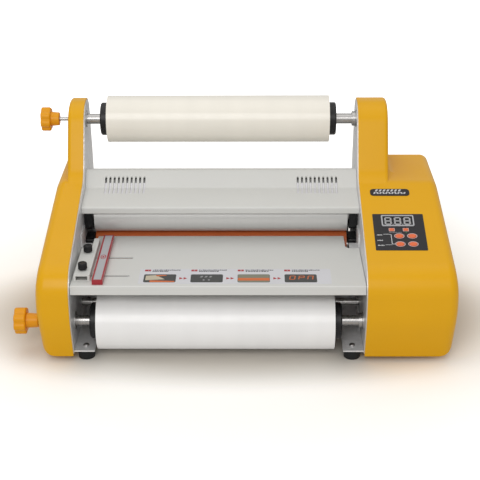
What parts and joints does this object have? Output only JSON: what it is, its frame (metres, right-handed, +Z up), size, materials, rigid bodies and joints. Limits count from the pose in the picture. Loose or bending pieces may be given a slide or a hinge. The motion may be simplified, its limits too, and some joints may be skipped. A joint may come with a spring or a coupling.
{
  "type": "hot roll laminator",
  "caption": "Desktop hot roll laminator with upper and lower film rolls, a feed tray with a paper guide, heated and pull rollers, and a digital control panel.",
  "frame": {"origin": "middle of the object's outline, on the surface it stands on", "axes": "+X to the user's right along the rollers, +Y from the feed tray to the back, +Z up"},
  "size_m": [0.5956, 0.3133, 0.2987],
  "materials": {
    "yellow_shell": "glossy moulded plastic",
    "yellow_knob": "glossy moulded plastic",
    "zinc_plate": "zinc-plated sheet, satin",
    "white_coat": "pale grey powder coat",
    "bright_steel": "turned steel",
    "roller_grey": "satin coated aluminium",
    "orange_silicone": "matte silicone",
    "black_plastic": "satin black plastic",
    "black_rubber": "matte rubber",
    "film": "milky wound film",
    "core_board": "wound paperboard",
    "red_trim": "glossy plastic",
    "grey_insert": "satin plastic",
    "panel_film": "printed polyester, satin",
    "display_glass": "tinted clear plastic",
    "orange_key": "glossy plastic",
    "board_green": "solder mask",
    "label_film": "printed polyester",
    "bush_steel": "turned steel",
    "gear_nylon": "natural nylon",
    "motor_metal": "grey paint",
    "lamp_ceramic": "ceramic and quartz"
  },
  "bodies": {
    "root": {"left_cover": "yellow_shell", "right_cover": "yellow_shell", "left_side_plate": "zinc_plate", "right_side_plate": "zinc_plate", "base_plate": "zinc_plate", "feet": "black_rubber", "screws": "bright_steel", "frame_rods": "bright_steel", "rear_panel": "white_coat", "feed_tray": "white_coat", "tray_end_brackets": "zinc_plate", "top_cover": "white_coat", "heat_shield": "zinc_plate", "heat_roller_bearings": "black_plastic", "shaft_bushes": "bush_steel", "springs": "bright_steel", "heat_lamp": "lamp_ceramic", "gear_motor": "motor_metal", "power_board": "board_green", "display_board": "board_green", "power_inlet": "black_plastic", "control_panel_label": "panel_film", "display_bezel": "grey_insert", "display_window": "display_glass", "indicator_lamps": "orange_key", "badge_plate": "panel_film", "tray_label": "label_film"},
    "upper_supply": {"upper_supply_shaft": "bright_steel", "upper_supply_chucks": "black_plastic", "upper_supply_core": "core_board", "upper_supply_film_roll": "film"},
    "lower_supply": {"lower_supply_shaft": "bright_steel", "lower_supply_chucks": "black_plastic", "lower_supply_core": "core_board", "lower_supply_film_roll": "film"},
    "upper_knob": {"upper_tension_knob": "yellow_knob", "upper_knob_stud": "bright_steel"},
    "lower_knob": {"lower_tension_knob": "yellow_knob", "lower_knob_stud": "bright_steel"},
    "upper_heat": {"upper_heat_roller": "roller_grey", "upper_heat_journals": "bright_steel", "upper_heat_gear": "gear_nylon"},
    "lower_heat": {"lower_heat_sleeve": "orange_silicone", "lower_heat_core": "bright_steel", "lower_heat_gear": "gear_nylon"},
    "idler": {"idler_gear": "gear_nylon"},
    "upper_pull": {"upper_pull_roller": "black_rubber"},
    "lower_pull": {"lower_pull_roller": "black_rubber"},
    "pinion": {"motor_pinion": "bright_steel"},
    "guide_carriage": {"guide_channel": "white_coat", "guide_bar": "red_trim", "guide_bar_insert": "grey_insert", "guide_straps": "zinc_plate"},
    "front_clamp": {"front_clamp_knob": "black_plastic"},
    "rear_clamp": {"rear_clamp_knob": "black_plastic"},
    "button_1": {"push_button_1": "orange_key"},
    "button_2": {"push_button_2": "orange_key"},
    "button_3": {"push_button_3": "orange_key"},
    "button_4": {"push_button_4": "orange_key"},
    "rocker": {"power_rocker": "black_plastic"}
  },
  "joints": [
    {"name": "lower_heat_spin", "type": "hinge", "parent": "root", "child": "lower_heat", "pos_m": [-0.02025, 0.041, 0.0942], "axis": [1, 0, 0], "continuous": true},
    {"name": "upper_heat_spin", "type": "hinge", "parent": "root", "child": "upper_heat", "pos_m": [-0.02025, 0.041, 0.1402], "axis": [1, 0, 0], "continuous": true},
    {"name": "idler_spin", "type": "hinge", "parent": "root", "child": "idler", "pos_m": [0.18675, 0.07991, 0.0915], "axis": [1, 0, 0], "continuous": true},
    {"name": "lower_pull_spin", "type": "hinge", "parent": "root", "child": "lower_pull", "pos_m": [-0.02025, 0.109, 0.1022], "axis": [1, 0, 0], "continuous": true},
    {"name": "upper_pull_spin", "type": "hinge", "parent": "root", "child": "upper_pull", "pos_m": [-0.02025, 0.109, 0.1322], "axis": [1, 0, 0], "continuous": true},
    {"name": "pinion_spin", "type": "hinge", "parent": "root", "child": "pinion", "pos_m": [0.18675, 0.01419, 0.0717], "axis": [1, 0, 0], "continuous": true},
    {"name": "upper_supply_spin", "type": "hinge", "parent": "root", "child": "upper_supply", "pos_m": [-0.02025, 0.106, 0.265], "axis": [1, 0, 0], "continuous": true},
    {"name": "lower_supply_spin", "type": "hinge", "parent": "root", "child": "lower_supply", "pos_m": [-0.02025, -0.111, 0.0475], "axis": [1, 0, 0], "continuous": true},
    {"name": "upper_knob_turn", "type": "hinge", "parent": "root", "child": "upper_knob", "pos_m": [-0.26025, 0.106, 0.265], "axis": [1, 0, 0], "range_deg": [-360, 360]},
    {"name": "lower_knob_turn", "type": "hinge", "parent": "root", "child": "lower_knob", "pos_m": [-0.27525, -0.111, 0.0475], "axis": [1, 0, 0], "range_deg": [-360, 360]},
    {"name": "guide_slide", "type": "slide", "parent": "root", "child": "guide_carriage", "axis": [1, 0, 0], "range_m": [0, 0.031]},
    {"name": "front_clamp_turn", "type": "hinge", "parent": "guide_carriage", "child": "front_clamp", "pos_m": [-0.20165, -0.1135, 0.12], "axis": [0, 0, 1], "range_deg": [0, 360]},
    {"name": "rear_clamp_turn", "type": "hinge", "parent": "guide_carriage", "child": "rear_clamp", "pos_m": [-0.20165, -0.0555, 0.12], "axis": [0, 0, 1], "range_deg": [0, 360]},
    {"name": "button_1_press", "type": "slide", "parent": "root", "child": "button_1", "axis": [0, 0.314, -0.9494], "range_m": [0, 0.0008], "stiffness_N_per_m": 400},
    {"name": "button_2_press", "type": "slide", "parent": "root", "child": "button_2", "axis": [0, 0.314, -0.9494], "range_m": [0, 0.0008], "stiffness_N_per_m": 400},
    {"name": "button_3_press", "type": "slide", "parent": "root", "child": "button_3", "axis": [0, 0.314, -0.9494], "range_m": [0, 0.0008], "stiffness_N_per_m": 400},
    {"name": "button_4_press", "type": "slide", "parent": "root", "child": "button_4", "axis": [0, 0.314, -0.9494], "range_m": [0, 0.0008], "stiffness_N_per_m": 400},
    {"name": "rocker_tilt", "type": "hinge", "parent": "root", "child": "rocker", "pos_m": [0.24175, 0.152, 0.082], "axis": [0, 0, 1], "range_deg": [0, 12]}
  ],
  "couplings": [
    {"joint": "upper_heat_spin", "follows": "lower_heat_spin", "ratio": -1},
    {"joint": "idler_spin", "follows": "lower_heat_spin", "ratio": -1.4375},
    {"joint": "lower_pull_spin", "follows": "lower_heat_spin", "ratio": 1.5333},
    {"joint": "upper_pull_spin", "follows": "lower_heat_spin", "ratio": -1.5333},
    {"joint": "pinion_spin", "follows": "lower_heat_spin", "ratio": -1.9167}
  ]
}
